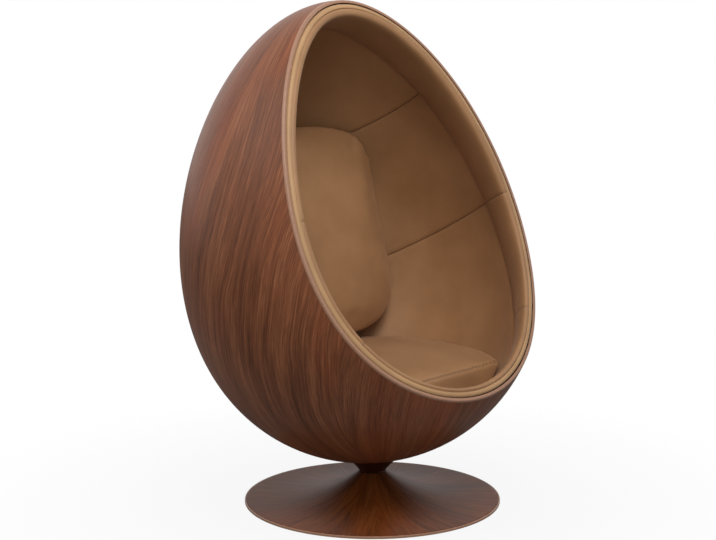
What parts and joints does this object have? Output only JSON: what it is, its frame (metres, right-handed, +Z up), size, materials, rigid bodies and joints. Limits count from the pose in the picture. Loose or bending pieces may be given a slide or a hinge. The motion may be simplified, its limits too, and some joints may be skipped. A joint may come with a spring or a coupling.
{
  "type": "pod lounge chair",
  "caption": "Swivelling egg-shaped pod lounge chair: a walnut veneered shell lined in tan leather, with loose seat and back cushions, on a low trumpet base.",
  "frame": {"origin": "on the floor, on the swivel axis, at the centre of the felt pad under the base", "axes": "+Z up along the swivel axis, -Y the way the sitter faces, +X to the left of someone sitting in it"},
  "size_m": [0.9506, 0.8876, 1.3198],
  "materials": {
    "walnut_veneer": "satin",
    "walnut_edge": "satin",
    "plywood": "matte",
    "tan_leather": "satin",
    "foam": "matte",
    "steel": "satin",
    "bronze": "satin",
    "nylon": "matte",
    "felt": "matte"
  },
  "bodies": {
    "base": {"base_floor_pad": "felt", "base_plate": "steel", "base_edge_band": "walnut_edge", "base_trumpet": "walnut_veneer", "base_screws": "steel", "pivot_tube": "steel", "bush_lower": "bronze", "bush_upper": "bronze", "thrust_washer": "nylon"},
    "pod": {"swivel_shaft": "steel", "retaining_washer": "steel", "retaining_nut": "steel", "thrust_collar": "steel", "neck_cone": "walnut_veneer", "neck_inserts": "bronze", "hub_pad": "plywood", "hub_plate": "steel", "hub_bolts": "steel", "hub_washers": "steel", "hub_nut": "steel", "shell_veneer": "walnut_veneer", "shell_core": "plywood", "rim_lipping": "walnut_edge", "rim_frame": "plywood", "rim_band": "tan_leather", "rim_roll_hood": "tan_leather", "rim_roll_right": "tan_leather", "rim_roll_left": "tan_leather", "rim_roll_front": "tan_leather", "foam_hood": "foam", "foam_upper_right": "foam", "foam_upper_left": "foam", "foam_lower_right": "foam", "foam_lower_left": "foam", "liner_hood": "tan_leather", "liner_upper_right": "tan_leather", "liner_upper_left": "tan_leather", "liner_lower_right": "tan_leather", "liner_lower_left": "tan_leather", "seat_riser": "foam", "seat_deck": "plywood", "liner_floor": "tan_leather", "seat_cushion": "tan_leather", "seat_core": "foam", "back_cushion": "tan_leather", "back_core": "foam"}
  },
  "joints": [
    {"name": "swivel", "type": "hinge", "parent": "base", "child": "pod", "pos_m": [0, 0, 0.082], "axis": [0, 0, 1], "continuous": true}
  ]
}
